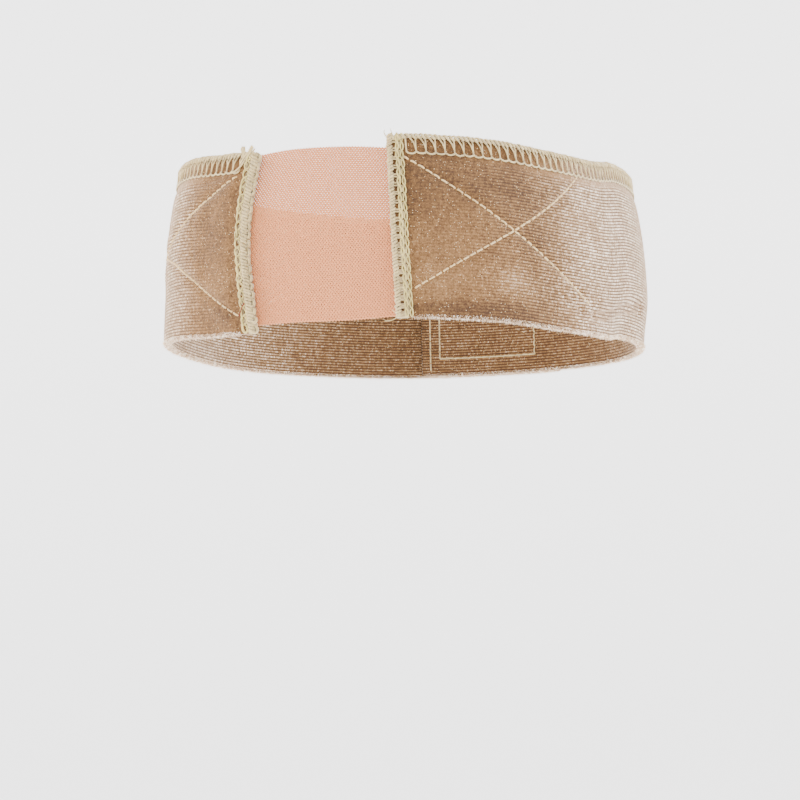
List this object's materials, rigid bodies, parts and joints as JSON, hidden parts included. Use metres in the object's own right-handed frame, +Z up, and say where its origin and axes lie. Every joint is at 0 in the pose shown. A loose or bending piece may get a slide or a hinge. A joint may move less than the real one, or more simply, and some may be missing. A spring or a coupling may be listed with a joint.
{
  "type": "wig grip band",
  "caption": "Soft velvet band worn under a wig: two folded straps joined by a net window at the forehead, with overlocked edges and a hook-and-loop closure at the nape.",
  "frame": {"origin": "middle of the head opening, level with the band's lower edge", "axes": "+Z up towards the crown, -Y towards the wearer's face, +X towards the wearer's left hand"},
  "size_m": [0.1584, 0.1966, 0.0632],
  "materials": {
    "velvet": "tan stretch velvet with fine level ribs, pale where it is seen along the pile",
    "overlock_thread": "cream polyester sewing thread, soft sheen",
    "net": "fine flesh-toned knitted net, see-through, matte",
    "hook_and_loop": "tan nylon hook-and-loop tape, matte"
  },
  "bodies": {
    "root": {"velvet_strap_left": "velvet", "velvet_strap_right": "velvet", "top_overlock_left": "overlock_thread", "top_overlock_right": "overlock_thread", "front_overlock_left": "overlock_thread", "front_overlock_right": "overlock_thread", "lace_window": "net", "closure_patch": "hook_and_loop"}
  },
  "joints": []
}
